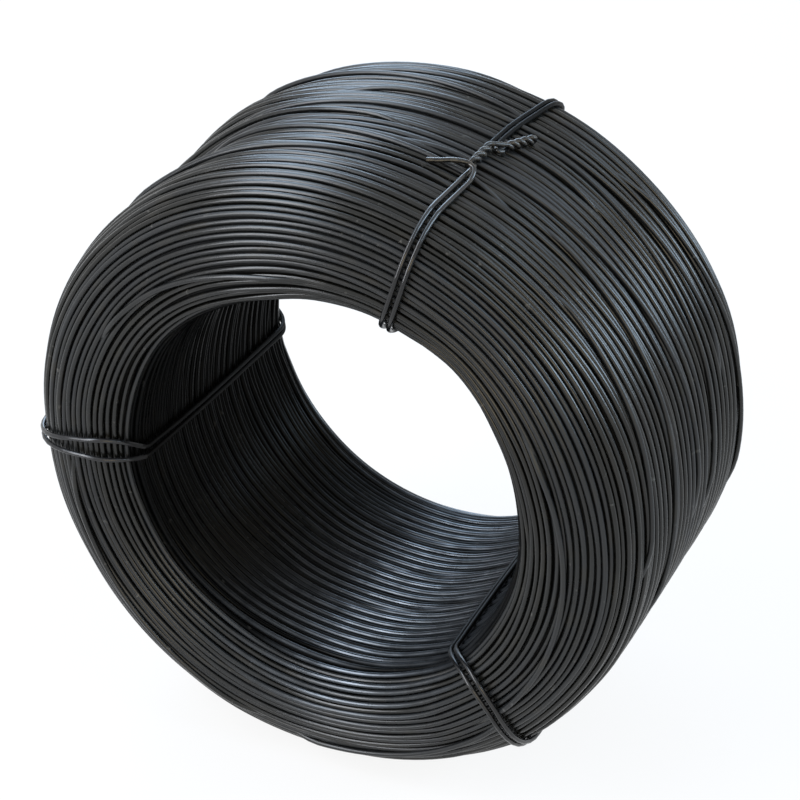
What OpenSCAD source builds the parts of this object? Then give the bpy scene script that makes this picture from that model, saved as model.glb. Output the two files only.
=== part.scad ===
// Coil of black annealed wire, lying on its rim and held by three twisted wire ties.
// Millimetres. The coil's axis is Y, its front end faces -Y, and it rests on Z = 0.

/* [Coil] */
// Diameter of the coiled wire
wire_d = 3.2; // [2.6:0.1:4.2]
// Outside diameter of the coil
coil_od = 320; // [300:1:345]
// Diameter of the bore
bore_d = 205; // [185:1:215]
// Width of the coil along its axis
coil_w = 176; // [150:1:210]
// Rounding of the winding where an end meets the rim
rim_round = 29; // [16:1:30]
// Rounding of the winding where an end meets the bore
bore_round = 20; // [10:1:24]
// How far neighbouring turns bite into each other, which makes the winding one solid
turn_bite = 0.1; // [0.06:0.01:0.16]

/* [Ties] */
// Diameter of the tie wire
tie_d = 2.4; // [1.8:0.1:3]
// Clearance between a tie and the turns under it
tie_gap = 0.1; // [0.05:0.05:0.3]
// Clearance between the two strands of a tie where they lie side by side
strand_gap = 0.3; // [0.2:0.05:0.6]
// Place of the top tie on the rim, round the coil from +X over the top
top_tie_angle = 72; // [55:1:85]
// Place of the left tie on the rim
left_tie_angle = 184; // [165:1:200]
// Place of the low tie on the rim
low_tie_angle = 312; // [300:1:330]
// Widest spacing of the top tie's strands at the front end
top_tie_spread = 4; // [3:0.5:12]
// Widest spacing of the left tie's strands at the front end
left_tie_spread = 11; // [3:0.5:12]
// Widest spacing of the low tie's strands at the front end
low_tie_spread = 5; // [3:0.5:12]
// How far the top tie bows to the side at the front end
top_tie_bow = -4; // [-14:1:14]
// How far the left tie bows to the side at the front end
left_tie_bow = -5; // [-14:1:14]
// How far the low tie bows to the side at the front end
low_tie_bow = 13; // [-14:1:14]
// How far the top tie leans to the side in the bore
top_tie_lean = -6; // [-16:1:16]
// How far the left tie leans to the side in the bore
left_tie_lean = 6; // [-16:1:16]
// How far the low tie leans to the side in the bore
low_tie_lean = -5; // [-16:1:16]
// How far the top tie drifts to the side between its knot and the back end
top_tie_drift = -6; // [-10:1:10]
// How far the left tie drifts to the side between its knot and the back end
left_tie_drift = 0; // [-10:1:10]
// How far the low tie drifts to the side between its knot and the back end
low_tie_drift = 0; // [-10:1:10]

/* [Knots] */
// Where the twist of a tie ends towards the front, from the middle of the rim
twist_front = -19; // [-21:1:-12]
// Length of the twist along the rim
twist_len = 20; // [18:1:30]
// Full turns in the twist
twist_turns = 2; // [1:1:2]
// Length of the pigtail that takes up a tie's slack
pigtail_len = 18; // [17:1:26]
// Angle of the pigtail from the tie's own direction
pigtail_angle = 20; // [15:1:40]
// Full turns in the pigtail
pigtail_turns = 2; // [1:1:2]
// Where the hooked end of a tie bends to the side, from the middle of the rim
hook_at = -24; // [-34:1:-23]
// Spacing of the hooked end and the strand beside it at the front of the rim
hook_spacing = 3.8; // [3.4:0.1:5]

/* [Hidden] */

wire_colour = "#2a2b2e";
tie_colour = "#3a3a3c";

// The winding: turns lie side by side in layers, each layer in the hollows of the one below
rim_r = coil_od / 2;
bore_r = bore_d / 2;
wall = rim_r - bore_r;
rim_corner = min(rim_round, wall / 2);
bore_corner = min(bore_round, wall / 2);
nested = sin(60);
wide_gaps = round((coil_w - wire_d) / (wire_d - turn_bite));
turn_pitch = (coil_w - wire_d) / wide_gaps;
last_layer = round((wall - wire_d) / ((wire_d - turn_bite) * nested));
layer_step = (wall - wire_d) / last_layer;
// Each turn is drawn with eight flats, one of them along its crest, so that the solid stays light
turn_sides = 8;
turn_flats = 360 / turn_sides / 2;
coil_facets = 72;

// The ties: one wire that goes twice round the winding
tie_r = tie_d / 2;
tie_rise = tie_r + tie_gap;
strand_pitch = tie_d + strand_gap;
twist_r = strand_pitch / 2;
tip_len = 0.6 * tie_d;
tie_sides = 8;
corner_steps = 8;
bore_steps = 5;
rim_steps = 4;
steps_per_twist = 12;
hook_steps = 4;
knot_steps = 3;

// The hooked end, from its tip: along the axis from hook_at, across, and height, in tie diameters
hook_route = [
  [-3.3, 7.6, 0.9], [-2.4, 5.6, 1.3], [-1.2, 3.6, 1.8], [-0.3, 1.9, 2.0],
  [0.1, 0.4, 2.0], [-0.7, -1.0, 1.7], [-2.6, -1.5, 0.8]
];
// The strand from the back turns round into the pigtail: along from the knot, across, and lift, in tie diameters
turn_in_route = [[6, 0, 0], [2.9, -0.05, 0], [1.1, -0.4, 0.02], [0.5, -1.2, 0.1], [1.3, -1.85, 0.1]];
// It comes back over its own bend, and on into the twist
turn_out_route = [[1.45, -1.1, 1.25], [0.6, -0.2, 1.2]];

// Radius of the middle of a layer's wire, counted from the bore
function layer_r(k) = bore_r + wire_d / 2 + k * layer_step;

// How far a rounded corner draws in the end of a layer that lies a depth below the outermost one
function corner_inset(depth, corner) =
  let (bend = corner - wire_d / 2)
  depth >= bend ? 0 : bend - sqrt(bend * bend - (bend - depth) * (bend - depth));

function half_reach(k) =
  (coil_w - wire_d) / 2
  - max(corner_inset((last_layer - k) * layer_step, rim_corner), corner_inset(k * layer_step, bore_corner));

// Gaps between the turns of a layer: odd layers sit half a pitch off, so their count is of the other parity
function layer_gaps(k) =
  let (most = floor(2 * half_reach(k) / turn_pitch + 0.001))
  most - abs(most - wide_gaps - k) % 2;

// Distance of a layer's last turn from the middle of the coil
function layer_end(k) = layer_gaps(k) * turn_pitch / 2;

// The innermost turn of a layer that a shorter neighbour leaves in view
function bare_from(k) =
  k == 0 || k == last_layer ? 0
  : min([for (n = [k - 1, k + 1]) layer_end(n) < layer_end(k) ? layer_end(n) + turn_pitch / 2 : layer_end(k)]);

// Corner of the core between a layer and the next, where one of them runs on past the other
function core_step(k) =
  let (here = layer_end(k), next = layer_end(k + 1))
  abs(here - next) < turn_pitch * 0.75 ? []
  : here > next ? [[layer_r(k), next + turn_pitch / 2]]
  : [[layer_r(k + 1), here + turn_pitch / 2]];

// One side of the core, through the middles of the turns in view, from the bore to the rim
core_side = [
  for (k = [0:last_layer]) each concat([[layer_r(k), layer_end(k)]], k < last_layer ? core_step(k) : [])
];

module winding_section() {
  front_side = [for (p = core_side) [p[0], -p[1]]];
  back_side = [for (i = [len(core_side) - 1:-1:0]) core_side[i]];
  polygon(concat(front_side, back_side));
  for (k = [0:last_layer], j = [0:layer_gaps(k)]) {
    place = (j - layer_gaps(k) / 2) * turn_pitch;
    if (abs(place) >= bare_from(k) - turn_pitch / 4)
      translate([layer_r(k), place]) rotate(turn_flats) circle(d = wire_d / cos(turn_flats), $fn = turn_sides);
  }
}

// The wire's two ends are tucked in under the low tie, so the winding starts and ends there
module wire_coil() {
  color(wire_colour)
    translate([0, 0, rim_r]) rotate([90, -low_tie_angle, 0])
      rotate_extrude($fn = coil_facets) winding_section();
}

// Points of a tie are [radius from the coil's axis, place along the axis, distance across the tie]
function at_rim(along, across, height) = [rim_r + height, along, across];
function blend(u) = u <= 0 ? 0 : u >= 1 ? 1 : u * u * (3 - 2 * u);

// Quarter circle of the tie round a corner of the winding, widened so that its straight steps stay clear
function corner_arc(r, along, bend, from, to) =
  let (reach = (bend + tie_rise) / cos(45 / corner_steps))
  [
    for (i = [0:corner_steps])
      let (a = from + (to - from) * i / corner_steps)
      [r + reach * cos(a), along + reach * sin(a)]
  ];

// One time round the winding: over the front end, through the bore and up the back end
rim_edge = coil_w / 2 - rim_corner;
bore_edge = coil_w / 2 - bore_corner;
loop_line = concat(
  corner_arc(rim_r - rim_corner, -rim_edge, rim_corner, 0, -90),
  corner_arc(bore_r + bore_corner, -bore_edge, bore_corner, -90, -180),
  [for (i = [1:bore_steps - 1]) [bore_r - tie_rise, bore_edge * (2 * i / bore_steps - 1)]],
  corner_arc(bore_r + bore_corner, bore_edge, bore_corner, 180, 90),
  corner_arc(rim_r - rim_corner, rim_edge, rim_corner, 90, 0)
);
loop_last = len(loop_line) - 1;
spread_last = 2 * corner_steps + 3;
lean_from = corner_steps + 4;
lean_to = loop_last - 2 * corner_steps;

// The pair moves over by one strand each time round, opens out and bows at the front end, and leans in the bore
function strand_across(i, side, spread, bow, lean) =
  let (u = i / loop_last)
  let (apart = hook_spacing + (strand_pitch - hook_spacing) * u)
  let (open = i < spread_last ? pow(sin(180 * pow(i / spread_last, 1.4)), 2) : 0)
  let (leaning = blend((i - lean_from) / corner_steps) * (1 - blend((i - lean_to) / corner_steps)))
  (strand_pitch * u - hook_spacing * (1 - u)) / 2
  + side * (apart + max(0, spread - apart) * open) / 2
  + bow * pow(sin(180 * min(1, i / spread_last)), 2)
  + lean * leaning;

function tie_loop(side, spread, bow, lean) = [
  for (i = [0:loop_last]) [loop_line[i][0], loop_line[i][1], strand_across(i, side, spread, bow, lean)]
];

// The twist, from its back end: one strand starts on top, and the pair sinks to lie side by side at the front
knot_at = twist_front + twist_len;
function tie_twist(side) =
  let (steps = twist_turns * steps_per_twist, all = 360 * twist_turns)
  [
    for (i = [0:steps])
      let (turn = 90 + (all - 90) * i / steps)
      let (lift = twist_r * sin(min(90, all - turn)))
      at_rim(
        knot_at - twist_len * i / steps,
        twist_r + side * twist_r * cos(turn),
        tie_rise + lift - side * twist_r * sin(turn)
      )
  ];

// The pigtail: the passing strand runs out along it, round its tip and back, twisted with itself
pigtail_from = [knot_at + 2.5 * tie_d, -1.95 * tie_d, tie_rise + twist_r + strand_gap / 3];
function pigtail_point(along, aside, height) = at_rim(
  pigtail_from[0] + along * cos(pigtail_angle) + aside * sin(pigtail_angle),
  pigtail_from[1] - along * sin(pigtail_angle) + aside * cos(pigtail_angle),
  pigtail_from[2] + height
);
function pigtail_strand(start) =
  let (steps = pigtail_turns * steps_per_twist)
  [
    for (i = [0:steps])
      let (turn = start + 360 * pigtail_turns * i / steps)
      pigtail_point(pigtail_len * i / steps, twist_r * cos(turn), twist_r * sin(turn))
  ];
pigtail_out = pigtail_strand(-90);
pigtail_back = pigtail_strand(90);
pigtail_tip = [
  for (a = [45, 90, 135])
    pigtail_point(pigtail_len + twist_r * sin(a), 0, -twist_r * cos(a))
];

// Smooth curve through points, without the last of them
function curve_point(p, u) =
  0.5 * (2 * p[1] + (p[2] - p[0]) * u + (2 * p[0] - 5 * p[1] + 4 * p[2] - p[3]) * u * u
  + (3 * p[1] - p[0] - 3 * p[2] + p[3]) * u * u * u);

function smooth_curve(points, steps) = [
  for (k = [0:len(points) - 2], j = [0:steps - 1])
    let (before = k == 0 ? 2 * points[0] - points[1] : points[k - 1])
    let (after = k == len(points) - 2 ? 2 * points[k + 1] - points[k] : points[k + 2])
    curve_point([before, points[k], points[k + 1], after], j / steps)
];

function from_knot(p) = at_rim(knot_at + p[0] * tie_d, p[1] * tie_d, tie_rise + p[2] * tie_d);

passing_strand = concat(
  smooth_curve(concat([for (p = turn_in_route) from_knot(p)], [pigtail_out[0]]), knot_steps),
  pigtail_out,
  pigtail_tip,
  [for (i = [len(pigtail_back) - 1:-1:1]) pigtail_back[i]],
  smooth_curve(
    concat([pigtail_back[0]], [for (p = turn_out_route) from_knot(p)], [tie_twist(-1)[0]]),
    knot_steps
  ),
  tie_twist(-1)
);

// The hooked end crosses over the strand that passes it and runs into the first time round
hook_end = smooth_curve(
  concat(
    [for (p = hook_route) at_rim(hook_at + p[0] * tie_d, p[1] * tie_d, p[2] * tie_d)],
    [at_rim(hook_at - 5 * tie_d, -hook_spacing, tie_rise)]
  ),
  hook_steps
);

// The way over the back of the rim, from the back end to the knot
drift_from = knot_at + 6 * tie_d;
function back_rim(across) = [
  for (k = [1:rim_steps])
    at_rim(rim_edge + (drift_from - rim_edge) * k / (rim_steps + 1), across, tie_rise)
];

function tie_route(spread, bow, lean) = concat(
  hook_end,
  tie_loop(-1, spread, bow, lean),
  back_rim(0),
  passing_strand,
  tie_loop(1, spread, bow, lean),
  back_rim(strand_pitch),
  [from_knot([2.9, strand_pitch / tie_d, 0])],
  tie_twist(1),
  [at_rim(twist_front - tip_len, strand_pitch, tie_rise)]
);

// Place of a point of a tie in space; the tie drifts aside behind its knot and comes back down the back end
function tie_place(angle, drift, p) =
  let (behind = blend((p[1] - drift_from) / (coil_w / 2 - drift_from)))
  let (aside = p[2] + drift * behind * blend((p[0] - bore_r) / wall))
  let (a = angle + aside / p[0] * 180 / PI)
  [p[0] * cos(a), p[1], rim_r + p[0] * sin(a)];

function unit(v) = v / norm(v);
function across(v, along) = unit(v - (v * along) * along);

// A wire along a route, as rings of points that are carried along without twisting
module wire_along(route, radius, sides) {
  last = len(route) - 1;
  ways = [for (i = [0:last]) unit(route[min(i + 1, last)] - route[max(i - 1, 0)])];
  start = across(abs(ways[0][2]) < 0.9 ? [0, 0, 1] : [1, 0, 0], ways[0]);
  normals = [
    for (i = 0, n = start; i <= last; i = i + 1, n = i <= last ? across(n, ways[i]) : n) n
  ];
  points = [
    for (i = [0:last], j = [0:sides - 1])
      let (a = 360 * j / sides)
      route[i] + radius * (cos(a) * normals[i] + sin(a) * cross(ways[i], normals[i]))
  ];
  skin = [
    for (i = [0:last - 1], j = [0:sides - 1])
      let (a = i * sides + j, b = i * sides + (j + 1) % sides)
      each [[a, a + sides, b], [b, a + sides, b + sides]]
  ];
  front_cap = [[for (j = [0:sides - 1]) j]];
  back_cap = [[for (j = [sides - 1:-1:0]) last * sides + j]];
  polyhedron(points, concat(front_cap, skin, back_cap));
}

module tie(angle, spread, bow, lean, drift) {
  color(tie_colour)
    wire_along([for (p = tie_route(spread, bow, lean)) tie_place(angle, drift, p)], tie_r, tie_sides);
}

module top_tie() {
  tie(top_tie_angle, top_tie_spread, top_tie_bow, top_tie_lean, top_tie_drift);
}

module left_tie() {
  tie(left_tie_angle, left_tie_spread, left_tie_bow, left_tie_lean, left_tie_drift);
}

module low_tie() {
  tie(low_tie_angle, low_tie_spread, low_tie_bow, low_tie_lean, low_tie_drift);
}

wire_coil();
top_tie();
left_tie();
low_tie();
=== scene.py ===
# %% [markdown]
# # A coil of black annealed wire
# The object is one long steel wire, about three millimetres thick, wound in close layers into a
# heavy ring. Three doubled tie wires hold the ring together. The solid model that this lesson starts
# from shows the turns as even ridges. Real turns wander: they crowd together under the ties, ride up
# over each other between them, leave narrow dark gaps, and now and then one lies across its neighbours.
# The lesson lays out every turn in view on its own path, and dresses the ties the same way.

# %% Load the solid model
import math

import bpy
import numpy as np
from mathutils import Matrix, Vector


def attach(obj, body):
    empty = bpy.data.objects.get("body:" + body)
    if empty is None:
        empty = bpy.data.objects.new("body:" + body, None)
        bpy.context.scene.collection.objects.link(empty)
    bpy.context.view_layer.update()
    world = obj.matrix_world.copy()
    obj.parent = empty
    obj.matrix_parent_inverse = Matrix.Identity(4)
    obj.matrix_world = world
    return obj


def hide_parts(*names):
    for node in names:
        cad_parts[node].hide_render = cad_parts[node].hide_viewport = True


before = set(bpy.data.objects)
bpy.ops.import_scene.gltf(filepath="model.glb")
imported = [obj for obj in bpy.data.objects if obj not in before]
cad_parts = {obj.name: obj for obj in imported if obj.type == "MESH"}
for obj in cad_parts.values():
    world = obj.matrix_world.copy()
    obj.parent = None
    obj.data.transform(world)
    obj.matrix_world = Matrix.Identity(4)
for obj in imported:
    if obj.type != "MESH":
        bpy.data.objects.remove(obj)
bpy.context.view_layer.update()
scene = bpy.context.scene
scene.view_settings.view_transform = "Standard"

# %% [markdown]
# ## The camera
# The photograph was taken from about seven outside radii away, above the ring and to its right. A long
# lens at that distance gives the same gentle perspective. The lens and its shift put the ring at the
# same size and place in the square picture.

# %% Camera at the photograph's viewing angle
RIM_R = 0.160
AXIS_Z = RIM_R
AZIMUTH, ELEVATION, DISTANCE = math.radians(25.7), math.radians(31.5), 1.12
SENSOR_WIDTH, LENS = 36, 101.4
SHIFT_X, SHIFT_Y = 0.0106, 0.018
camera_way = np.array([
    math.sin(AZIMUTH) * math.cos(ELEVATION),
    -math.cos(AZIMUTH) * math.cos(ELEVATION),
    math.sin(ELEVATION),
])
bpy.ops.object.camera_add(
    location=tuple(np.array([0, 0, AXIS_Z]) + camera_way * DISTANCE),
    rotation=(math.pi / 2 - ELEVATION, 0, AZIMUTH),
)
camera = bpy.context.object
camera.data.sensor_width = SENSOR_WIDTH
camera.data.lens = LENS
camera.data.shift_x = SHIFT_X
camera.data.shift_y = SHIFT_Y
scene.camera = camera
print("camera at", [round(v, 3) for v in camera.location], "lens", round(camera.data.lens, 1), "mm")

# %% [markdown]
# ## Floor and light
# The picture has a plain white ground. The floor and the world are white where the camera or a
# reflection sees them. For all other light the floor is pale grey and the world a dim daylight, so the
# ground is white without more light on the wire, and the floor still takes the shadow.
#
# The lamps stand for a band of soft sky at the left, from behind over the top to the front. It draws the
# highlights along the top of the rim, the floor of the bore and the front end. A lamp at the right, and
# a weak one above it, pick out the turns on the side of the rim. A weak warm one low at the front keeps
# the front end from turning blue.

# %% Floor that is white to the camera and keeps the shadow
FLOOR_SIZE = 12
FLOOR_GREY = (0.8, 0.8, 0.8, 1)
FLOOR_GLOW = 0.88


def white_to_camera(nodes, links):
    """A value that is 1 for camera, glossy and transmission rays."""
    path = nodes.new("ShaderNodeLightPath")
    total = path.outputs["Is Camera Ray"]
    for ray in ("Is Glossy Ray", "Is Transmission Ray"):
        most = nodes.new("ShaderNodeMath")
        most.operation = "MAXIMUM"
        links.new(total, most.inputs[0])
        links.new(path.outputs[ray], most.inputs[1])
        total = most.outputs[0]
    return total


bpy.ops.object.select_all(action="DESELECT")
bpy.ops.mesh.primitive_plane_add(size=FLOOR_SIZE, location=(0, 0, 0))
floor = bpy.context.object
floor.name = "floor"
floor_paint = bpy.data.materials.new("floor_paint")
floor_paint.use_nodes = True
nodes, links = floor_paint.node_tree.nodes, floor_paint.node_tree.links
nodes.clear()
matt = nodes.new("ShaderNodeBsdfDiffuse")
matt.inputs["Color"].default_value = FLOOR_GREY
glow = nodes.new("ShaderNodeEmission")
share = nodes.new("ShaderNodeMath")
share.operation = "MULTIPLY"
share.inputs[1].default_value = FLOOR_GLOW
links.new(white_to_camera(nodes, links), share.inputs[0])
both = nodes.new("ShaderNodeMixShader")
links.new(share.outputs[0], both.inputs[0])
links.new(matt.outputs[0], both.inputs[1])
links.new(glow.outputs[0], both.inputs[2])
links.new(both.outputs[0], nodes.new("ShaderNodeOutputMaterial").inputs["Surface"])
floor.data.materials.append(floor_paint)
print("floor", [round(v, 1) for v in floor.dimensions])

# %% World: white to the camera, soft daylight otherwise
DAY_COLOUR, DAY_STRENGTH = (0.86, 0.92, 1.0, 1), 0.2
WHITE = (1, 1, 1, 1)
world = bpy.data.worlds.new("daylight")
scene.world = world
world.use_nodes = True
nodes, links = world.node_tree.nodes, world.node_tree.links
nodes.clear()
day = nodes.new("ShaderNodeBackground")
day.inputs["Color"].default_value = DAY_COLOUR
day.inputs["Strength"].default_value = DAY_STRENGTH
white = nodes.new("ShaderNodeBackground")
white.inputs["Color"].default_value = WHITE
both = nodes.new("ShaderNodeMixShader")
links.new(white_to_camera(nodes, links), both.inputs[0])
links.new(day.outputs[0], both.inputs[1])
links.new(white.outputs[0], both.inputs[2])
links.new(both.outputs[0], nodes.new("ShaderNodeOutputWorld").inputs["Surface"])
print("daylight strength", round(day.inputs["Strength"].default_value, 2))

# %% Lamps
# Each lamp: direction from the middle of the ring, distance, width, height, power and colour
LAMPS = {
    "window": ((-0.46, 0.76, 0.45), 1.6, 0.8, 1.4, 19, (0.56, 0.76, 1.0)),
    "overhead": ((-0.52, 0.02, 0.85), 1.6, 0.6, 1.4, 14, (0.58, 0.78, 1.0)),
    "overhead_right": ((0.52, 0.10, 0.85), 1.6, 0.5, 1.5, 6, (0.56, 0.78, 1.0)),
    "front_above": ((-0.52, -0.68, 0.52), 1.6, 0.55, 1.8, 35, (0.91, 0.94, 1.0)),
    "right_side": ((0.82, 0.22, 0.44), 1.5, 0.42, 1.4, 23, (0.60, 0.80, 1.0)),
    "front_fill": ((0.45, -0.82, 0.28), 1.7, 0.9, 0.6, 6, (1.0, 0.80, 0.46)),
}


def soft_lamp(name, way, distance, width, height, power, colour):
    """An area lamp that faces the ring, with its width across the ring's axis."""
    facing = Vector(way).normalized()
    across = (Vector((1, 0, 0)) - facing * facing.x).normalized()
    turned = Matrix((across, facing.cross(across), facing)).transposed()
    bpy.ops.object.light_add(
        type="AREA", location=Vector((0, 0, AXIS_Z)) + facing * distance, rotation=turned.to_euler()
    )
    lamp = bpy.context.object
    lamp.name = name
    lamp.data.shape = "RECTANGLE"
    lamp.data.size = width
    lamp.data.size_y = height
    lamp.data.energy = power
    lamp.data.color = colour


for name, values in LAMPS.items():
    soft_lamp(name, *values)
print("lamps:", list(LAMPS))

# %% [markdown]
# ## The black oxide
# Annealed wire comes out of the furnace with a thin dark oxide: nearly black, satin rather than
# glossy, a little bluer on one turn and browner on the next, with specks of dust. The turns deep in the
# bore, and the layer seen in the gaps, get blacker and less shiny copies of the oxide: that is painted
# shade. On the floor of the bore, where a turn stands proud, bare steel is mixed in as rubbed oxide:
# that is a painted highlight. Two effects serve every wire here, so each is a node group. The first
# gives a wire a shade of its own that drifts along its length. The second gives fine grain and specks.

# %% Helpers for nodes
def math_node(nodes, links, operation, a, b):
    """A Math node on two sockets or numbers."""
    node = nodes.new("ShaderNodeMath")
    node.operation = operation
    for socket, value in zip(node.inputs, (a, b)):
        if isinstance(value, (int, float)):
            socket.default_value = value
        else:
            links.new(value, socket)
    return node.outputs[0]


def vector_node(nodes, links, operation, a, b):
    """A Vector Math node on a socket and a socket or triple."""
    node = nodes.new("ShaderNodeVectorMath")
    node.operation = operation
    links.new(a, node.inputs[0])
    if isinstance(b, tuple):
        node.inputs[1].default_value = b
    elif b is not None:
        links.new(b, node.inputs[1])
    return node.outputs[0]


def ranged(nodes, links, value, low, high, to_low, to_high):
    """A Map Range node on a socket."""
    node = nodes.new("ShaderNodeMapRange")
    for label, number in (("From Min", low), ("From Max", high), ("To Min", to_low), ("To Max", to_high)):
        node.inputs[label].default_value = number
    links.new(value, node.inputs["Value"])
    return node.outputs["Result"]


def colour_mix(nodes, links, amount, a, b):
    """A mix of two colours, each a socket or a plain colour, by an amount."""
    node = nodes.new("ShaderNodeMix")
    node.data_type = "RGBA"
    links.new(amount, node.inputs["Factor"])
    for label, value in (("A", a), ("B", b)):
        if isinstance(value, tuple):
            node.inputs[label].default_value = value
        else:
            links.new(value, node.inputs[label])
    return node.outputs["Result"]


def new_group(name, inputs, outputs):
    """An empty node group with named number sockets."""
    group = bpy.data.node_groups.new(name, "ShaderNodeTree")
    for label, value in inputs:
        socket = group.interface.new_socket(label, in_out="INPUT", socket_type="NodeSocketFloat")
        socket.default_value = value
    for label in outputs:
        group.interface.new_socket(label, in_out="OUTPUT", socket_type="NodeSocketFloat")
    return group, group.nodes.new("NodeGroupInput"), group.nodes.new("NodeGroupOutput")


print("node helpers ready")

# %% Node group: shade that drifts along a wire
LANE_STEP = 97.0
drift, start, end = new_group("drift_along_wire", [("Patches", 10.0), ("Turn", 0.0)], ["Drift"])
nodes, links = drift.nodes, drift.links
place = nodes.new("ShaderNodeTexCoord").outputs["Object"]
flat = vector_node(nodes, links, "SUBTRACT", place, (0, 0, AXIS_Z))
flat = vector_node(nodes, links, "MULTIPLY", flat, (1, 0, 1))
bearing = vector_node(nodes, links, "NORMALIZE", flat, None)
spread = nodes.new("ShaderNodeVectorMath")
spread.operation = "SCALE"
links.new(bearing, spread.inputs[0])
links.new(start.outputs["Patches"], spread.inputs["Scale"])
lane = nodes.new("ShaderNodeCombineXYZ")
links.new(math_node(nodes, links, "MULTIPLY", start.outputs["Turn"], LANE_STEP), lane.inputs["Y"])
cloud = nodes.new("ShaderNodeTexNoise")
cloud.inputs["Scale"].default_value = 1
cloud.inputs["Detail"].default_value = 3
links.new(vector_node(nodes, links, "ADD", spread.outputs[0], lane.outputs[0]), cloud.inputs["Vector"])
links.new(cloud.outputs["Fac"], end.inputs["Drift"])
print("group", drift.name)

# %% Node group: fine grain and specks
SPECK_FROM, SPECK_TO = 0.70, 0.78
grain, start, end = new_group(
    "oxide_grain", [("Grain Size", 900.0), ("Speck Size", 260.0)], ["Grain", "Specks"]
)
nodes, links = grain.nodes, grain.links
place = nodes.new("ShaderNodeTexCoord").outputs["Object"]
for label, detail in (("Grain", 4), ("Speck", 2)):
    noise = nodes.new("ShaderNodeTexNoise")
    noise.inputs["Detail"].default_value = detail
    links.new(place, noise.inputs["Vector"])
    links.new(start.outputs[label + " Size"], noise.inputs["Scale"])
    if label == "Grain":
        links.new(noise.outputs["Fac"], end.inputs["Grain"])
    else:
        specks = ranged(nodes, links, noise.outputs["Fac"], SPECK_FROM, SPECK_TO, 0, 1)
        links.new(specks, end.inputs["Specks"])
print("group", grain.name)

# %% Materials of the coiled wire: the oxide in view, and blacker copies for the bore and the gaps as painted shade
def placed_group(nodes, group, **values):
    """A node group in a material, with its own values."""
    node = nodes.new("ShaderNodeGroup")
    node.node_tree = group
    for label, value in values.items():
        node.inputs[label.replace("_", " ")].default_value = value
    return node


# Colour of the painted highlight on the floor of the bore, laid as bare steel
HIGHLIGHT_STEEL = (0.078, 0.086, 0.096, 1)
MOST_BROWN, MOST_DUST = 0.7, 0.5
ROUGH_SPREAD = 0.2
BUMP_STRENGTH, BUMP_DEPTH = 0.04, 0.0002


def attribute(nodes, name):
    """The value that a mesh carries under a name."""
    node = nodes.new("ShaderNodeAttribute")
    node.attribute_name = name
    return node.outputs["Fac"]


def wire_material(name, dark, blue, brown, dust, gloss, shine):
    """Black oxide on steel: shades that change from turn to turn and along each turn."""
    material = bpy.data.materials.new(name)
    material.use_nodes = True
    nodes, links = material.node_tree.nodes, material.node_tree.links
    oxide = nodes["Principled BSDF"]
    turn = attribute(nodes, "turn")
    along = placed_group(nodes, drift, Patches=9.0)
    links.new(turn, along.inputs["Turn"])
    skin = placed_group(nodes, grain, Grain_Size=900.0, Speck_Size=230.0)
    # Colour: from dark to blue, then brown patches, then dust
    tone = math_node(nodes, links, "ADD", turn, along.outputs["Drift"])
    colour = colour_mix(nodes, links, ranged(nodes, links, tone, 0.55, 1.25, 0, 1), dark, blue)
    browner = ranged(nodes, links, along.outputs["Drift"], 0.52, 0.72, 0, MOST_BROWN)
    colour = colour_mix(nodes, links, browner, colour, brown)
    specks = math_node(nodes, links, "MULTIPLY", skin.outputs["Specks"], MOST_DUST)
    colour = colour_mix(nodes, links, specks, colour, dust)
    # Painted highlight: bare, metallic steel where the oxide is marked as rubbed off
    patches = ranged(nodes, links, along.outputs["Drift"], 0.3, 0.65, 0.5, 1)
    highlight_steel = math_node(nodes, links, "MULTIPLY", attribute(nodes, "painted_highlight"), patches)
    links.new(highlight_steel, oxide.inputs["Metallic"])
    links.new(colour_mix(nodes, links, highlight_steel, colour, HIGHLIGHT_STEEL), oxide.inputs["Base Color"])
    # Sheen: a turn's own, drifting along it
    own = math_node(nodes, links, "MULTIPLY", turn, 0.6)
    rough = math_node(nodes, links, "ADD", along.outputs["Drift"], own)
    links.new(ranged(nodes, links, rough, 0.3, 1.2, gloss, gloss + ROUGH_SPREAD), oxide.inputs["Roughness"])
    oxide.inputs["Specular IOR Level"].default_value = shine
    bump = nodes.new("ShaderNodeBump")
    bump.inputs["Strength"].default_value = BUMP_STRENGTH
    bump.inputs["Distance"].default_value = BUMP_DEPTH
    links.new(skin.outputs["Grain"], bump.inputs["Height"])
    links.new(bump.outputs["Normal"], oxide.inputs["Normal"])
    return material


coil_oxide = wire_material(
    "coil_oxide",
    dark=(0.005, 0.005, 0.004, 1),
    blue=(0.009, 0.0098, 0.0105, 1),
    brown=(0.014, 0.0123, 0.0085, 1),
    dust=(0.10, 0.095, 0.085, 1),
    gloss=0.17,
    shine=0.39,
)
# Painted shade: a blacker, less shiny copy of the oxide for the turns deep in the bore
bore_painted_shade = wire_material(
    "bore_painted_shade",
    dark=(0.0012, 0.0012, 0.0011, 1),
    blue=(0.0026, 0.0028, 0.003, 1),
    brown=(0.0042, 0.0038, 0.003, 1),
    dust=(0.05, 0.048, 0.045, 1),
    gloss=0.16,
    shine=0.05,
)
# Painted shade: a blacker, duller copy of the oxide for the layer seen in the gaps and for the core
deep_painted_shade = wire_material(
    "deep_painted_shade",
    dark=(0.002, 0.002, 0.002, 1),
    blue=(0.003, 0.003, 0.0035, 1),
    brown=(0.003, 0.0027, 0.0025, 1),
    dust=(0.01, 0.01, 0.01, 1),
    gloss=0.5,
    shine=0.12,
)
print("materials:", coil_oxide.name, bore_painted_shade.name, deep_painted_shade.name)

# %% [markdown]
# ## The section of the winding
# Cut the ring across and the section is a rectangle with generous round corners. Each turn in view
# has its middle half a wire inside that outline. A finely drawn outline, with its length and its
# outward direction at every point, lets a turn be placed by one number: how far along it lies.

# %% Outline of the section
WIRE_D = 0.0028
BORE_R = 0.1025
HALF_W = 0.088
RIM_ROUND = 0.029
BORE_ROUND = 0.020
CORNER_POINTS = 181


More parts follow.
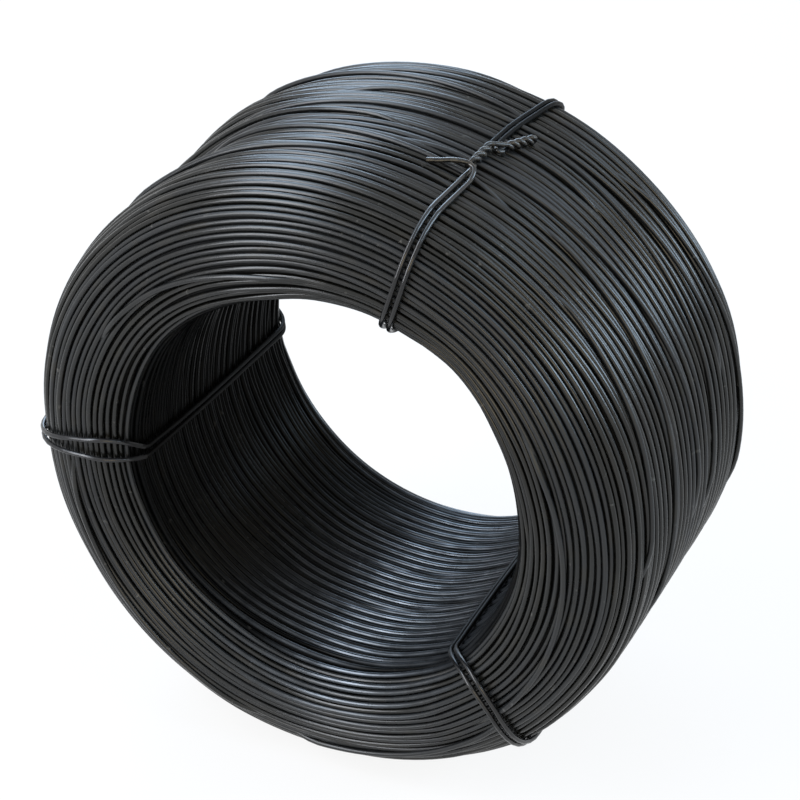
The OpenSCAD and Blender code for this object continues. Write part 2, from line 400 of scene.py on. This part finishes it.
def section_outline(inset):
    """Length along the outline, with the radius, place along the axis and outward direction there."""
    corners = [
        (BORE_R + BORE_ROUND, BORE_ROUND - HALF_W, BORE_ROUND, 180, 270),
        (RIM_R - RIM_ROUND, RIM_ROUND - HALF_W, RIM_ROUND, 270, 360),
        (RIM_R - RIM_ROUND, HALF_W - RIM_ROUND, RIM_ROUND, 0, 90),
        (BORE_R + BORE_ROUND, HALF_W - BORE_ROUND, BORE_ROUND, 90, 180),
    ]
    middle_of_bore = np.array([[BORE_R + inset, 0, -1, 0]])
    rows = [middle_of_bore]
    for r, y, bend, first, last in corners:
        a = np.radians(np.linspace(first, last, CORNER_POINTS))
        out_r, out_y = np.cos(a), np.sin(a)
        reach = bend - inset
        rows.append(np.stack([r + reach * out_r, y + reach * out_y, out_r, out_y], 1))
    points = np.concatenate(rows + [middle_of_bore])
    length = np.concatenate([[0], np.cumsum(np.hypot(*np.diff(points[:, :2], axis=0).T))])
    return length, points


skin_length, skin_points = section_outline(WIRE_D / 2)
print("outline of the skin", round(skin_length[-1] * 1000, 1), "mm")

# %% [markdown]
# ## How the turns wander
# Three things move a turn off its even place. Between the ties the winding is slack and stands a little
# out of its even section, or in, and the rim has a hollow with a swell behind it. Under a tie, and where
# the ring presses on the floor, the winding is tight. And a turn rides up on its neighbours or sinks
# between them, and the two change places slowly on the way round. Smooth random waves with a fixed seed
# give that chance.

# %% Slack between the ties
# Each tie: its place on the rim in degrees, the opening of its strands, its bow at the front end, its
# lean in the bore and its drift over the back of the rim
TIES = {
    "top_tie": (72, 0.004, -0.004, -0.006, -0.006),
    "left_tie": (184, 0.011, -0.005, 0.006, 0),
    "low_tie": (312, 0.005, 0.013, -0.005, 0),
}
# Places round the coil in degrees, and how far the rim and the bore stand out there, in millimetres
SLACK = [
    (0, 0.2, 3.6), (8, 0.2, 3.6), (22, 1.6, 2.2), (36, 0.8, 0.4), (52, 0.2, -2.4), (92, 1.0, 2.6),
    (102, 1.2, 5.4), (112, 1.5, 5.6), (130, 0.1, 4.0), (150, 0.3, 1.6), (205, 0.7, 0.6), (228, 1.8, 0.8),
    (248, 2.2, 1.2), (270, 0.0, 1.8), (292, 0.0, 1.6), (328, -1.6, 3.4), (340, -0.6, 4.0), (352, 0.0, 3.8),
]
# The rim's hollow and swell: degrees round the coil, millimetres along the axis, height in millimetres
HUMPS = [(132, -15, -5.2), (126, 30, 4.2)]
# Their reach: radians round the coil, millimetres along the axis, share of the depth from rim to bore
HUMP_REACH, HUMP_WIDTH, HUMP_DEPTH = 0.25, 20, 0.4
# A tie's hold: its reach in radians round the coil, and the depth of the ring under it
TIE_REACH, TIE_FALL = 0.17, 0.057


def smooth_round(angles, places, values):
    """A smooth closed curve round the coil through values at places in degrees."""
    order = np.argsort(places)
    fine = np.arange(720) / 2
    line = np.interp(fine, np.array(places)[order], np.array(values)[order], period=360)
    reach = np.exp(-((np.arange(-40, 41) / 10) ** 2))
    line = np.convolve(np.concatenate([line[-40:], line, line[:40]]), reach / reach.sum(), "valid")
    return np.interp(np.degrees(angles) % 360, fine, line, period=360)


def tightness(angles, depth, y):
    """1 under a tie and 0 far from it; depth is 0 at the rim and 1 at the bore."""
    loose = np.ones_like(depth)
    for place, _, bow, lean, _ in TIES.values():
        aside = bow * np.sin(np.pi * depth) ** 2 * (y < 0) + lean * depth
        middle = math.radians(place) + aside / (RIM_R - TIE_FALL * depth)
        away = np.angle(np.exp(1j * (angles - middle)))
        loose = loose * (1 - np.exp(-((away / TIE_REACH) ** 2)))
    return 1 - loose


def standing_out(angles, r, y):
    """How far the winding stands out of its even section at a place."""
    depth = np.clip((RIM_R - r) / (RIM_R - BORE_R), 0, 1)
    places, rim_slack, bore_slack = zip(*SLACK)
    of_rim = smooth_round(angles, places, rim_slack)
    of_bore = smooth_round(angles, places, bore_slack)
    lift = of_rim * (1 - depth) + of_bore * depth
    for place, along, height in HUMPS:
        away = np.angle(np.exp(1j * (angles - math.radians(place)))) / HUMP_REACH
        aside = (y * 1000 - along) / HUMP_WIDTH
        lift = lift + height * np.exp(-(away ** 2) - aside ** 2) * (depth < HUMP_DEPTH)
    return lift * (1 - tightness(angles, depth, y)) / 1000


print("slack given at", len(SLACK), "places")

# %% Random waves round the coil
chance = np.random.default_rng(41)


def waves(count, angles, most, fade):
    """Smooth random curves round the ring, one a row, with unit spread."""
    k = np.arange(1, most + 1)
    size = k ** -fade / np.sqrt((k ** (-2 * fade)).sum())
    shift = chance.uniform(0, 2 * np.pi, (count, most, 1))
    height = chance.normal(0, math.sqrt(2), (count, most, 1)) * size[:, None]
    return (height * np.cos(k[:, None] * angles + shift)).sum(1)


# Each wave: how often it comes round the coil, its length across the winding and its start
ride_waves = [
    (k, chance.uniform(0.025, 0.09) * chance.choice([-1, 1]), chance.uniform(0, 2 * np.pi))
    for k in (0, 1, 1, 2, 2, 3, 3, 4)
]


def riding(angles, along):
    """From -1 to 1: which of two neighbours rides on the other, changing slowly over the coil."""
    field = sum(np.cos(k * angles + 2 * np.pi * along / reach + shift) for k, reach, shift in ride_waves)
    return np.clip(0.9 * field, -1, 1)


print("waves that let turns ride on each other:", len(ride_waves))

# %% Paths of the turns of one layer
def turn_paths(inset, segments, sunk, spare_share, ripple):
    """Radius, place along the axis and proudness of a layer's turns at even steps round the ring.

    Inset is the depth of the layer, sunk how deep a turn may sink between its neighbours, spare_share
    the share of the room that is left as gaps, and ripple the size of the fine unevenness.
    """
    angles = np.arange(segments) * 2 * np.pi / segments
    length, points = section_outline(inset)
    total = length[-1]

    def pitch(along):
        """Room that a turn needs, how deep one may sink here, and which rides on top."""
        out = np.interp(along % total, length, points[:, 2])
        deep = sunk * (0.75 + 0.25 * np.maximum(0, out))
        top = riding(angles, along)
        return np.sqrt(WIRE_D ** 2 - (deep * top) ** 2), deep, top

    # The four sides meet in the middles of the corners, and each has its own number of turns
    edges = [length[1 + CORNER_POINTS // 2 + CORNER_POINTS * i] for i in range(4)]
    sides = []
    for low, high in zip(edges, edges[1:] + [edges[0] + total]):
        even = np.linspace(low, high, 200)[:, None] + np.zeros(segments)
        count = int((1 - spare_share) * (high - low) / pitch(even)[0].mean())
        # The spare room is shared out unevenly, and the turns are set anew as their need changes
        share = np.exp(0.9 * waves(count, angles, 5, 0.9))
        along = low + (np.arange(count)[:, None] + 0.5) / count * (high - low) + np.zeros(segments)
        for _ in range(6):
            room = pitch(along)[0]
            step = room + (high - low - room.sum(0)) * share / share.sum(0)
            along = low + np.cumsum(step, 0) - step / 2
        sides.append(along)
    bounds = np.cumsum([0] + [len(side) for side in sides])
    along = np.concatenate(sides)
    deep, top = pitch(along)[1:]
    along = (along + ripple * waves(len(along), angles, 14, 0.3)) % total
    r, y, out_r, out_y = (np.interp(along, length, points[:, i]) for i in range(4))
    odd = np.where(np.arange(len(along)) % 2, 1.0, -1.0)[:, None]
    proud = (1 + odd * top) / 2
    lift = standing_out(angles, r, y) - deep * (1 - proud)
    lift = lift - ripple * np.abs(waves(len(along), angles, 12, 0.3))
    picks = [slice(first, last) for first, last in zip(bounds, bounds[1:])]
    return r + out_r * lift, y + out_y * lift, proud, picks


SEGMENTS = 168
skin_r, skin_y, skin_proud, skin_sides = turn_paths(
    WIRE_D / 2, SEGMENTS, sunk=0.0012, spare_share=0.10, ripple=0.00012
)
least, most = (round(value * 1000, 1) for value in (skin_r.min(), skin_r.max()))
print("skin turns:", len(skin_r), "radius", least, "to", most, "mm")

# %% [markdown]
# ## From paths to wire
# One turn is modelled as a ring of round section and then copied along every path. A torus gives the
# ring its faces. Each copy's points are moved onto its own path, and all the copies on one side of the
# winding are joined into one mesh, because hundreds of loose rings would be slow to handle. Each copy
# also carries a number of its own, from which the material gives the turn its shade, and at every point
# a share of painted highlight, laid as bare steel where the oxide is rubbed.

# %% Helpers that copy the ring along a set of paths
# The painted highlight on the floor of the bore, laid as rubbed steel: its middle and reach round the
# coil in degrees, and where it ends and fades
HIGHLIGHT_AT, HIGHLIGHT_REACH = 277, 31
HIGHLIGHT_END, HIGHLIGHT_FADE = 0.130, 0.018


def ring_template(segments, sides):
    """Angle round the coil, angle round the wire and faces of one ring, from a torus."""
    bpy.ops.object.select_all(action="DESELECT")
    bpy.ops.mesh.primitive_torus_add(
        major_segments=segments, minor_segments=sides, major_radius=1.0, minor_radius=0.1
    )
    torus = bpy.context.object
    spots = np.empty(len(torus.data.vertices) * 3)
    torus.data.vertices.foreach_get("co", spots)
    spots = spots.reshape(-1, 3)
    faces = np.array([list(p.vertices) for p in torus.data.polygons])
    bpy.ops.object.delete()
    round_coil = np.arctan2(spots[:, 1], spots[:, 0])
    round_wire = np.arctan2(spots[:, 2], np.hypot(spots[:, 0], spots[:, 1]) - 1.0)
    return round_coil, round_wire, faces


def painted_highlight_share(angles, radius):
    """Share of painted highlight, laid as oxide rubbed off: most on the floor of the bore, fading up its
    sides and lips.
    """
    away = np.angle(np.exp(1j * (angles - math.radians(HIGHLIGHT_AT)))) / math.radians(HIGHLIGHT_REACH)
    return np.exp(-(away ** 2)) * np.clip((HIGHLIGHT_END - radius) / HIGHLIGHT_FADE, 0, 1)


def wound_piece(name, template, r, y, proud, turn, material):
    """One mesh of rings, each on its own path, in the coil's place, with painted highlight as rubbed steel
    where they stand proud.
    """
    round_coil, round_wire, faces = template
    segments = r.shape[1]
    step = np.rint(round_coil / (2 * np.pi) * segments).astype(int) % segments
    radius = r[:, step] + WIRE_D / 2 * np.cos(round_wire)
    along = y[:, step] - WIRE_D / 2 * np.sin(round_wire)
    spots = np.stack([radius * np.cos(round_coil), along, AXIS_Z + radius * np.sin(round_coil)], 2)
    every = faces[None] + (np.arange(len(r)) * len(round_coil))[:, None, None]
    mesh = bpy.data.meshes.new(name)
    mesh.from_pydata(spots.reshape(-1, 3), [], every.reshape(-1, 4))
    shade = mesh.attributes.new("turn", "FLOAT", "POINT")
    shade.data.foreach_set("value", np.repeat(turn, len(round_coil)).astype(np.float32))
    # Painted highlight: rubbed steel on proud turns on the floor of the bore
    painted_highlight = mesh.attributes.new("painted_highlight", "FLOAT", "POINT")
    highlit = painted_highlight_share(round_coil, radius) * proud[:, step]
    painted_highlight.data.foreach_set("value", highlit.ravel().astype(np.float32))
    mesh.polygons.foreach_set("use_smooth", np.ones(len(mesh.polygons), bool))
    mesh.materials.append(material)
    piece = bpy.data.objects.new(name, mesh)
    scene.collection.objects.link(piece)
    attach(piece, "root")
    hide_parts("wire_coil")
    print(name, len(r), "turns", len(mesh.polygons) * 2, "triangles")


SKIN_SIDES = 8
skin_ring = ring_template(SEGMENTS, SKIN_SIDES)
print("ring of", len(skin_ring[0]), "points")

# %% The turns in view: front end, rim, back end and bore, whose outer turns are its lips
LIP_FROM = BORE_R + 0.0018
turn_shade = chance.uniform(0, 1, len(skin_r))
for name, pick in zip(("front_turns", "rim_turns", "back_turns", "bore_turns"), skin_sides):
    if name == "bore_turns":
        rows = np.arange(len(skin_r))[pick]
        pick = rows[skin_r[pick].mean(1) < LIP_FROM]
        lips = np.setdiff1d(rows, pick)
        wound_piece(
            "lip_turns", skin_ring,
            skin_r[lips], skin_y[lips], skin_proud[lips], turn_shade[lips], coil_oxide,
        )
    # The turns deep in the bore take the painted-shade copy of the oxide, its lips the oxide in view
    oxide = bore_painted_shade if name == "bore_turns" else coil_oxide
    wound_piece(name, skin_ring, skin_r[pick], skin_y[pick], skin_proud[pick], turn_shade[pick], oxide)

# %% The layer below, seen in the gaps
DEEP_INSET, DEEP_SEGMENTS, DEEP_SIDES = WIRE_D * 1.42, 112, 6
DEEP_NAMES = ("deep_front_turns", "deep_rim_turns", "deep_back_turns", "deep_bore_turns")
deep_r, deep_y, _, deep_sides = turn_paths(
    DEEP_INSET, DEEP_SEGMENTS, sunk=0.0006, spare_share=0.03, ripple=0.0001
)
deep_ring = ring_template(DEEP_SEGMENTS, DEEP_SIDES)
deep_shade = chance.uniform(0, 1, len(deep_r))
no_highlight = np.zeros_like(deep_r)
# The layer in the gaps takes the painted-shade copy of the oxide
for name, pick in zip(DEEP_NAMES, deep_sides):
    wound_piece(name, deep_ring, deep_r[pick], deep_y[pick], no_highlight[pick], deep_shade[pick], deep_painted_shade)

# %% [markdown]
# ## The heart of the winding
# Behind the two outer layers nothing can be seen, but light must not shine through. A plain core, spun
# from the section's outline three wires down, closes the winding.

# %% Core spun round the axis
CORE_INSET, CORE_STEPS, OUTLINE_STEP = WIRE_D * 3, 72, 12
core_points = section_outline(CORE_INSET)[1]
outline = core_points[:-1:OUTLINE_STEP, :2]
core_mesh = bpy.data.meshes.new("core")
core_mesh.from_pydata(
    [(r, y, AXIS_Z) for r, y in outline], [(i, (i + 1) % len(outline)) for i in range(len(outline))], []
)
core = bpy.data.objects.new("core", core_mesh)
scene.collection.objects.link(core)
bpy.ops.object.select_all(action="DESELECT")
core.select_set(True)
bpy.context.view_layer.objects.active = core
bpy.ops.object.mode_set(mode="EDIT")
bpy.ops.mesh.select_all(action="SELECT")
bpy.ops.mesh.spin(steps=CORE_STEPS, angle=2 * math.pi, center=(0, 0, AXIS_Z), axis=(0, 1, 0))
bpy.ops.mesh.select_all(action="SELECT")
bpy.ops.mesh.remove_doubles(threshold=0.0001)
bpy.ops.mesh.normals_make_consistent(inside=False)
bpy.ops.object.mode_set(mode="OBJECT")
bpy.ops.object.shade_smooth()
# The core takes the same painted-shade copy
core.data.materials.append(deep_painted_shade)
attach(core, "root")
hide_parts("wire_coil")
print("core", len(core.data.polygons), "faces")

# %% [markdown]
# ## Turns that ride on top
# Here and there a turn has slipped out of its layer and lies on its neighbours, crossing a few of them
# at a flat angle before it dives back in. Such a turn is laid as a whole ring like the others: it lies
# over half a wire higher for a part of its way round, and below the skin on the rest, out of sight.

# %% Riding turns
# Each one: its place on the section's outline in millimetres behind the middle of the rim, its middle
# round the coil in degrees, half its reach in degrees, and how far it wanders across in millimetres
RIDERS = [
    (-60, 24, 26, 5), (-44, 104, 34, -6), (-31, 20, 40, 7), (-22, 95, 30, 5), (-8, 40, 46, -8),
    (3, 118, 32, 6), (12, 88, 36, -5), (24, 30, 38, 6), (35, 60, 44, -7), (47, 100, 30, 5),
    (58, 20, 34, -6), (-96, 222, 36, 4), (-104, 352, 40, -5), (-112, 120, 30, 4), (-90, 290, 26, -4),
    (92, 60, 40, 6), (100, 240, 44, -5),
]
# Height over the skin and depth below it, in wires
RIDER_UP, RIDER_DOWN = 0.62, 1.3
# End and slope of the high part, and end of the wander, in reaches
RIDER_END, RIDER_SLOPE, RIDER_SWING = 1.25, 0.5, 1.3


def easing(u):
    """0 to 1 with a soft start and end."""
    u = np.clip(u, 0, 1)
    return u * u * (3 - 2 * u)


round_step = np.arange(SEGMENTS) * 2 * np.pi / SEGMENTS
rim_middle = (skin_length[2 * CORNER_POINTS] + skin_length[2 * CORNER_POINTS + 1]) / 2
rows = []
for place, middle, reach, wander in RIDERS:
    away = np.angle(np.exp(1j * (round_step - math.radians(middle)))) / math.radians(reach)
    up = easing((RIDER_END - np.abs(away)) / RIDER_SLOPE)
    swing = wander * np.clip(away, -RIDER_SWING, RIDER_SWING)
    along = (rim_middle + (place + swing) / 1000) % skin_length[-1]
    r, y, out_r, out_y = (np.interp(along, skin_length, skin_points[:, i]) for i in range(4))
    height = standing_out(round_step, r, y) + WIRE_D * (RIDER_UP * up - RIDER_DOWN * (1 - up))
    rows.append((r + out_r * height, y + out_y * height))
rider_r, rider_y = (np.stack(part) for part in zip(*rows))
rider_shade = chance.uniform(0.3, 1, len(rows))
all_proud = np.ones_like(rider_r)
wound_piece("riding_turns", skin_ring, rider_r, rider_y, all_proud, rider_shade, coil_oxide)

# %% [markdown]
# ## The ties
# A tie is one length of thinner wire that goes twice round the section of the winding. Its first end is
# bent aside in a hook. The two times round lie side by side, open out a little at the front end, and are
# twisted together on the rim, where the passing strand is also drawn out into a short pigtail that
# takes up the slack. The route is set out as points, each by its radius, its place along the axis and its
# distance across the tie. A smooth curve through them carries a round bevel, and is then made a mesh.

# %% Sizes of the tie wire and its knot
TIE_D = 0.0024
TIE_RISE = TIE_D / 2 + 0.0001
STRAND_PITCH = TIE_D + 0.0003
TWIST_R = STRAND_PITCH / 2
HOOK_AT, HOOK_SPACING = -0.024, 0.0038
KNOT_AT, TWIST_LEN, TWIST_TURNS = 0.001, 0.020, 2
PIGTAIL_LEN, PIGTAIL_ANGLE, PIGTAIL_TURNS = 0.018, math.radians(20), 2
CORNER_STEPS, BORE_STEPS, TWIST_STEPS = 8, 5, 24
DRIFT_FROM = KNOT_AT + 6 * TIE_D
# Bends of the hook and the knot: along the axis, across and up, in tie diameters
HOOK = [
    (-3.3, 7.6, 0.9), (-2.4, 5.6, 1.3), (-1.2, 3.6, 1.8), (-0.3, 1.9, 2.0),
    (0.1, 0.4, 2.0), (-0.7, -1.0, 1.7), (-2.6, -1.5, 0.8),
]
TURN_IN = [(6, 0, 0), (2.9, -0.05, 0), (1.1, -0.4, 0.02), (0.5, -1.2, 0.1), (1.3, -1.85, 0.1)]
TURN_OUT = [(1.45, -1.1, 1.25), (0.6, -0.2, 1.2)]


def at_rim(along, across, height):
    """A point of a tie over the rim."""
    return np.stack(np.broadcast_arrays(RIM_R + height, along, across), -1)


print("tie wire", round(TIE_D * 1000, 2), "mm, strands", round(STRAND_PITCH * 1000, 2), "mm apart")

# %% One time round the winding
def corner_arc(r, along, bend, first, last):
    """Quarter circle of a tie round a corner of the section."""
    a = np.radians(np.linspace(first, last, CORNER_STEPS + 1))
    reach = (bend + TIE_RISE) / math.cos(math.radians(45 / CORNER_STEPS))
    return np.stack([r + reach * np.cos(a), along + reach * np.sin(a)], 1)


rim_edge, bore_edge = HALF_W - RIM_ROUND, HALF_W - BORE_ROUND
bore_line = bore_edge * (2 * np.arange(1, BORE_STEPS) / BORE_STEPS - 1)
loop_line = np.concatenate([
    corner_arc(RIM_R - RIM_ROUND, -rim_edge, RIM_ROUND, 0, -90),
    corner_arc(BORE_R + BORE_ROUND, -bore_edge, BORE_ROUND, -90, -180),
    np.stack([np.full(BORE_STEPS - 1, BORE_R - TIE_RISE), bore_line], 1),
    corner_arc(BORE_R + BORE_ROUND, bore_edge, BORE_ROUND, 180, 90),
    corner_arc(RIM_R - RIM_ROUND, rim_edge, RIM_ROUND, 90, 0),
])


def tie_loop(side, spread, bow, lean):
    """A strand once round: it opens out and bows at the front end, and leans in the bore."""
    i = np.arange(len(loop_line))
    u = i / i[-1]
    apart = HOOK_SPACING + (STRAND_PITCH - HOOK_SPACING) * u
    front = np.minimum(1, i / (2 * CORNER_STEPS + 3))
    wide = np.sin(np.pi * front ** 1.4) ** 2
    leaning = easing((i - CORNER_STEPS - 4) / CORNER_STEPS)
    leaning = leaning * (1 - easing((i - i[-1] + 2 * CORNER_STEPS) / CORNER_STEPS))
    across = (STRAND_PITCH * u - HOOK_SPACING * (1 - u)) / 2
    across = across + side * (apart + np.maximum(0, spread - apart) * wide) / 2
    across = across + bow * np.sin(np.pi * front) ** 2 + lean * leaning
    return np.column_stack([loop_line, across])


print("points once round:", len(loop_line))

# %% The twist, the pigtail and the hook
def curve_through(points, steps):
    """Smooth curve through points, without the last of them."""
    p = np.concatenate([[2 * points[0] - points[1]], points, [2 * points[-1] - points[-2]]])
    u = (np.arange(steps) / steps)[None, :, None]
    a, b, c, d = (p[i:len(p) - 3 + i, None] for i in range(4))
    curve = 2 * b + (c - a) * u + (2 * a - 5 * b + 4 * c - d) * u ** 2 + (3 * b - a - 3 * c + d) * u ** 3
    return curve.reshape(-1, 3) / 2


def tie_twist(side):
    """One strand of the twist, from its back end."""
    u = np.arange(TWIST_STEPS + 1) / TWIST_STEPS
    whole = 2 * np.pi * TWIST_TURNS
    turn = np.pi / 2 + (whole - np.pi / 2) * u
    lift = TWIST_R * np.sin(np.minimum(np.pi / 2, whole - turn))
    across = TWIST_R + side * TWIST_R * np.cos(turn)
    return at_rim(KNOT_AT - TWIST_LEN * u, across, TIE_RISE + lift - side * TWIST_R * np.sin(turn))


def pigtail_point(along, aside, height):
    """A point of the pigtail, which leaves the knot at an angle."""
    c, d = math.cos(PIGTAIL_ANGLE), math.sin(PIGTAIL_ANGLE)
    return at_rim(
        KNOT_AT + 2.5 * TIE_D + along * c + aside * d,
        -1.95 * TIE_D - along * d + aside * c,
        TIE_RISE + TWIST_R + 0.0001 + height,
    )


def pigtail_strand(start):
    """One strand of the pigtail, outwards."""
    u = np.arange(TWIST_STEPS + 1) / TWIST_STEPS
    turn = start + 2 * np.pi * PIGTAIL_TURNS * u
    return pigtail_point(PIGTAIL_LEN * u, TWIST_R * np.cos(turn), TWIST_R * np.sin(turn))


def from_knot(bends):
    """Points over the rim, counted in tie diameters from the knot."""
    bends = np.array(bends) * TIE_D
    return at_rim(KNOT_AT + bends[:, 0], bends[:, 1], TIE_RISE + bends[:, 2])


way_out, way_back = pigtail_strand(-np.pi / 2), pigtail_strand(np.pi / 2)
tip_turn = np.radians([45, 90, 135])
tip = pigtail_point(PIGTAIL_LEN + TWIST_R * np.sin(tip_turn), 0, -TWIST_R * np.cos(tip_turn))
passing_strand = np.concatenate([
    curve_through(np.concatenate([from_knot(TURN_IN), way_out[:1]]), 3),
    way_out,
    tip,
    way_back[:0:-1],
    curve_through(np.concatenate([way_back[:1], from_knot(TURN_OUT), tie_twist(-1)[:1]]), 3),
    tie_twist(-1),
])
hook_bends = np.array(HOOK) * TIE_D
hook_end = curve_through(np.concatenate([
    at_rim(HOOK_AT + hook_bends[:, 0], hook_bends[:, 1], hook_bends[:, 2]),
    at_rim(np.array([HOOK_AT - 5 * TIE_D]), -HOOK_SPACING, TIE_RISE),
]), 4)
print("points in the knot:", len(passing_strand) + len(hook_end))

# %% The whole route of a tie
def tie_route(place, spread, bow, lean, drift):
    """Points of one tie in space, from its hook to the end of its twist."""
    back_rim = rim_edge + (DRIFT_FROM - rim_edge) * np.arange(1, 5) / 5
    p = np.concatenate([
        hook_end,
        tie_loop(-1, spread, bow, lean),
        at_rim(back_rim, 0, TIE_RISE),
        passing_strand,
        tie_loop(1, spread, bow, lean),
        at_rim(back_rim, STRAND_PITCH, TIE_RISE),
        from_knot([(2.9, STRAND_PITCH / TIE_D, 0)]),
        tie_twist(1),
        at_rim(np.array([KNOT_AT - TWIST_LEN - 0.6 * TIE_D]), STRAND_PITCH, TIE_RISE),
    ])
    behind = easing((p[:, 1] - DRIFT_FROM) / (HALF_W - DRIFT_FROM))
    behind = behind * easing((p[:, 0] - BORE_R) / (RIM_R - BORE_R))
    a = math.radians(place) + (p[:, 2] + drift * behind) / p[:, 0]
    return np.stack([p[:, 0] * np.cos(a), p[:, 1], AXIS_Z + p[:, 0] * np.sin(a)], 1)


routes = {name: tie_route(*values) for name, values in TIES.items()}
for name, route in routes.items():
    print(name, "wire", round(np.linalg.norm(np.diff(route, axis=0), axis=1).sum() * 1000), "mm long")

# %% [markdown]
# ## Finish of the ties
# The tie wire is a little smoother and shinier than the coil. Where it was twisted the oxide cracked,
# and a little brown rust has come through. In the bore and behind the knot it takes a blacker, dull copy
# of its material, which is painted shade, and towards the bore its sheen fades.

# %% Material of the ties
tie_steel = wire_material(
    "tie_steel",
    dark=(0.004, 0.004, 0.004, 1),
    blue=(0.009, 0.009, 0.010, 1),
    brown=(0.014, 0.012, 0.010, 1),
    dust=(0.10, 0.095, 0.085, 1),
    gloss=0.12,
    shine=0.42,
)
# Painted shade: a blacker, dull copy of the tie's material for its stretch in the bore and behind the knot
tie_painted_shade = wire_material(
    "tie_painted_shade",
    dark=(0.003, 0.003, 0.003, 1),
    blue=(0.004, 0.004, 0.004, 1),
    brown=(0.005, 0.0045, 0.004, 1),
    dust=(0.03, 0.028, 0.025, 1),
    gloss=0.36,
    shine=0.05,
)
RUST = (0.040, 0.033, 0.024, 1)
MOST_RUST, MOST_DULL = 0.8, 0.5
nodes, links = tie_steel.node_tree.nodes, tie_steel.node_tree.links
steel = nodes["Principled BSDF"]
clean = steel.inputs["Base Color"].links[0].from_socket
flakes = placed_group(nodes, grain, Grain_Size=420.0, Speck_Size=300.0)
patches = ranged(nodes, links, flakes.outputs["Grain"], 0.42, 0.64, 0, MOST_RUST)
rusty = math_node(nodes, links, "MULTIPLY", attribute(nodes, "knot"), patches)
links.new(colour_mix(nodes, links, rusty, clean, RUST), steel.inputs["Base Color"])
sheen = steel.inputs["Roughness"].links[0].from_socket
dulled = math_node(nodes, links, "MULTIPLY", attribute(nodes, "soot"), MOST_DULL)
links.new(math_node(nodes, links, "ADD", sheen, dulled), steel.inputs["Roughness"])
print("materials", tie_steel.name, tie_painted_shade.name)

# %% Tie wires
# Rust of the knot: its middle along the axis, its reach and fading there, and its start over the rim
RUST_MIDDLE, RUST_END, RUST_FADE = -0.004, 0.034, 0.008
RUST_LOW, RUST_RISE = 0.0005, 0.002
# Fading of the sheen: its reach beyond the bore's edge, its length, and its depth into the section
DULL_END, DULL_FADE, DULL_DEPTH = 0.014, 0.011, 0.02
# Painted shade on the tie: its reach beyond the bore's edge and depth into the section, its start behind
# the knot, its rise
PAINTED_SHADE_END, PAINTED_SHADE_DEPTH = 0.003, 0.01
PAINTED_SHADE_BACK, PAINTED_SHADE_RISE = KNOT_AT + 0.003, 0.0029
LONGEST_STEP = 0.005


def closer_points(route, most):
    """The same route with points added on its long straight steps."""
    rows = []
    for a, b in zip(route, route[1:]):
        count = math.ceil(np.linalg.norm(b - a) / most)
        rows.append(a + (b - a) * (np.arange(count) / count)[:, None])
    return np.concatenate(rows + [route[-1:]])


def tie_wire(name, route):
    """A tie as a mesh: a bevelled curve along its route."""
    route = closer_points(route, LONGEST_STEP)
    fine = np.concatenate([curve_through(route, 2), route[-1:]])
    bpy.ops.object.select_all(action="DESELECT")
    bpy.ops.curve.primitive_nurbs_path_add()
    tie = bpy.context.object
    tie.name = name + "_wire"
    curve = tie.data
    curve.splines.clear()
    line = curve.splines.new("POLY")
    line.points.add(len(fine) - 1)
    line.points.foreach_set("co", np.column_stack([fine, np.ones(len(fine))]).ravel())
    curve.dimensions = "3D"
    curve.bevel_depth = TIE_D / 2
    curve.bevel_resolution = 3
    curve.use_fill_caps = True
    bpy.ops.object.convert(target="MESH")
    mesh = bpy.context.object.data
    mesh.name = name + "_wire"
    spots = np.empty(len(mesh.vertices) * 3)
    mesh.vertices.foreach_get("co", spots)
    spots = spots.reshape(-1, 3)
    out = np.hypot(spots[:, 0], spots[:, 2] - AXIS_Z) - RIM_R
    near = easing((RUST_END - np.abs(spots[:, 1] - RUST_MIDDLE)) / RUST_FADE)
    near = near * easing((out - RUST_LOW) / RUST_RISE)
    mesh.attributes.new("knot", "FLOAT", "POINT").data.foreach_set("value", near.astype(np.float32))
    dull = easing((bore_edge + DULL_END - np.abs(spots[:, 1])) / DULL_FADE)
    dull = dull * (out < BORE_R + DULL_DEPTH - RIM_R)
    mesh.attributes.new("soot", "FLOAT", "POINT").data.foreach_set("value", dull.astype(np.float32))
    shade = np.full(len(spots), chance.uniform(0.3, 0.8), np.float32)
    mesh.attributes.new("turn", "FLOAT", "POINT").data.foreach_set("value", shade)
    bpy.ops.object.shade_smooth()
    mesh.materials.clear()
    mesh.materials.append(tie_steel)
    mesh.materials.append(tie_painted_shade)
    middles = np.array([face.center for face in mesh.polygons])
    out = np.hypot(middles[:, 0], middles[:, 2] - AXIS_Z)
    # Painted shade: faces in the bore and behind the knot take the blacker copy
    in_bore = (np.abs(middles[:, 1]) < bore_edge + PAINTED_SHADE_END) & (out < BORE_R + PAINTED_SHADE_DEPTH)
    behind_knot = (middles[:, 1] > PAINTED_SHADE_BACK) & (out < RIM_R + PAINTED_SHADE_RISE)
    mesh.polygons.foreach_set("material_index", (in_bore | behind_knot).astype(np.int32))
    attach(tie, "root")
    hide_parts(name)
    print(tie.name, len(mesh.polygons), "faces")


for name, route in routes.items():
    tie_wire(name, route)
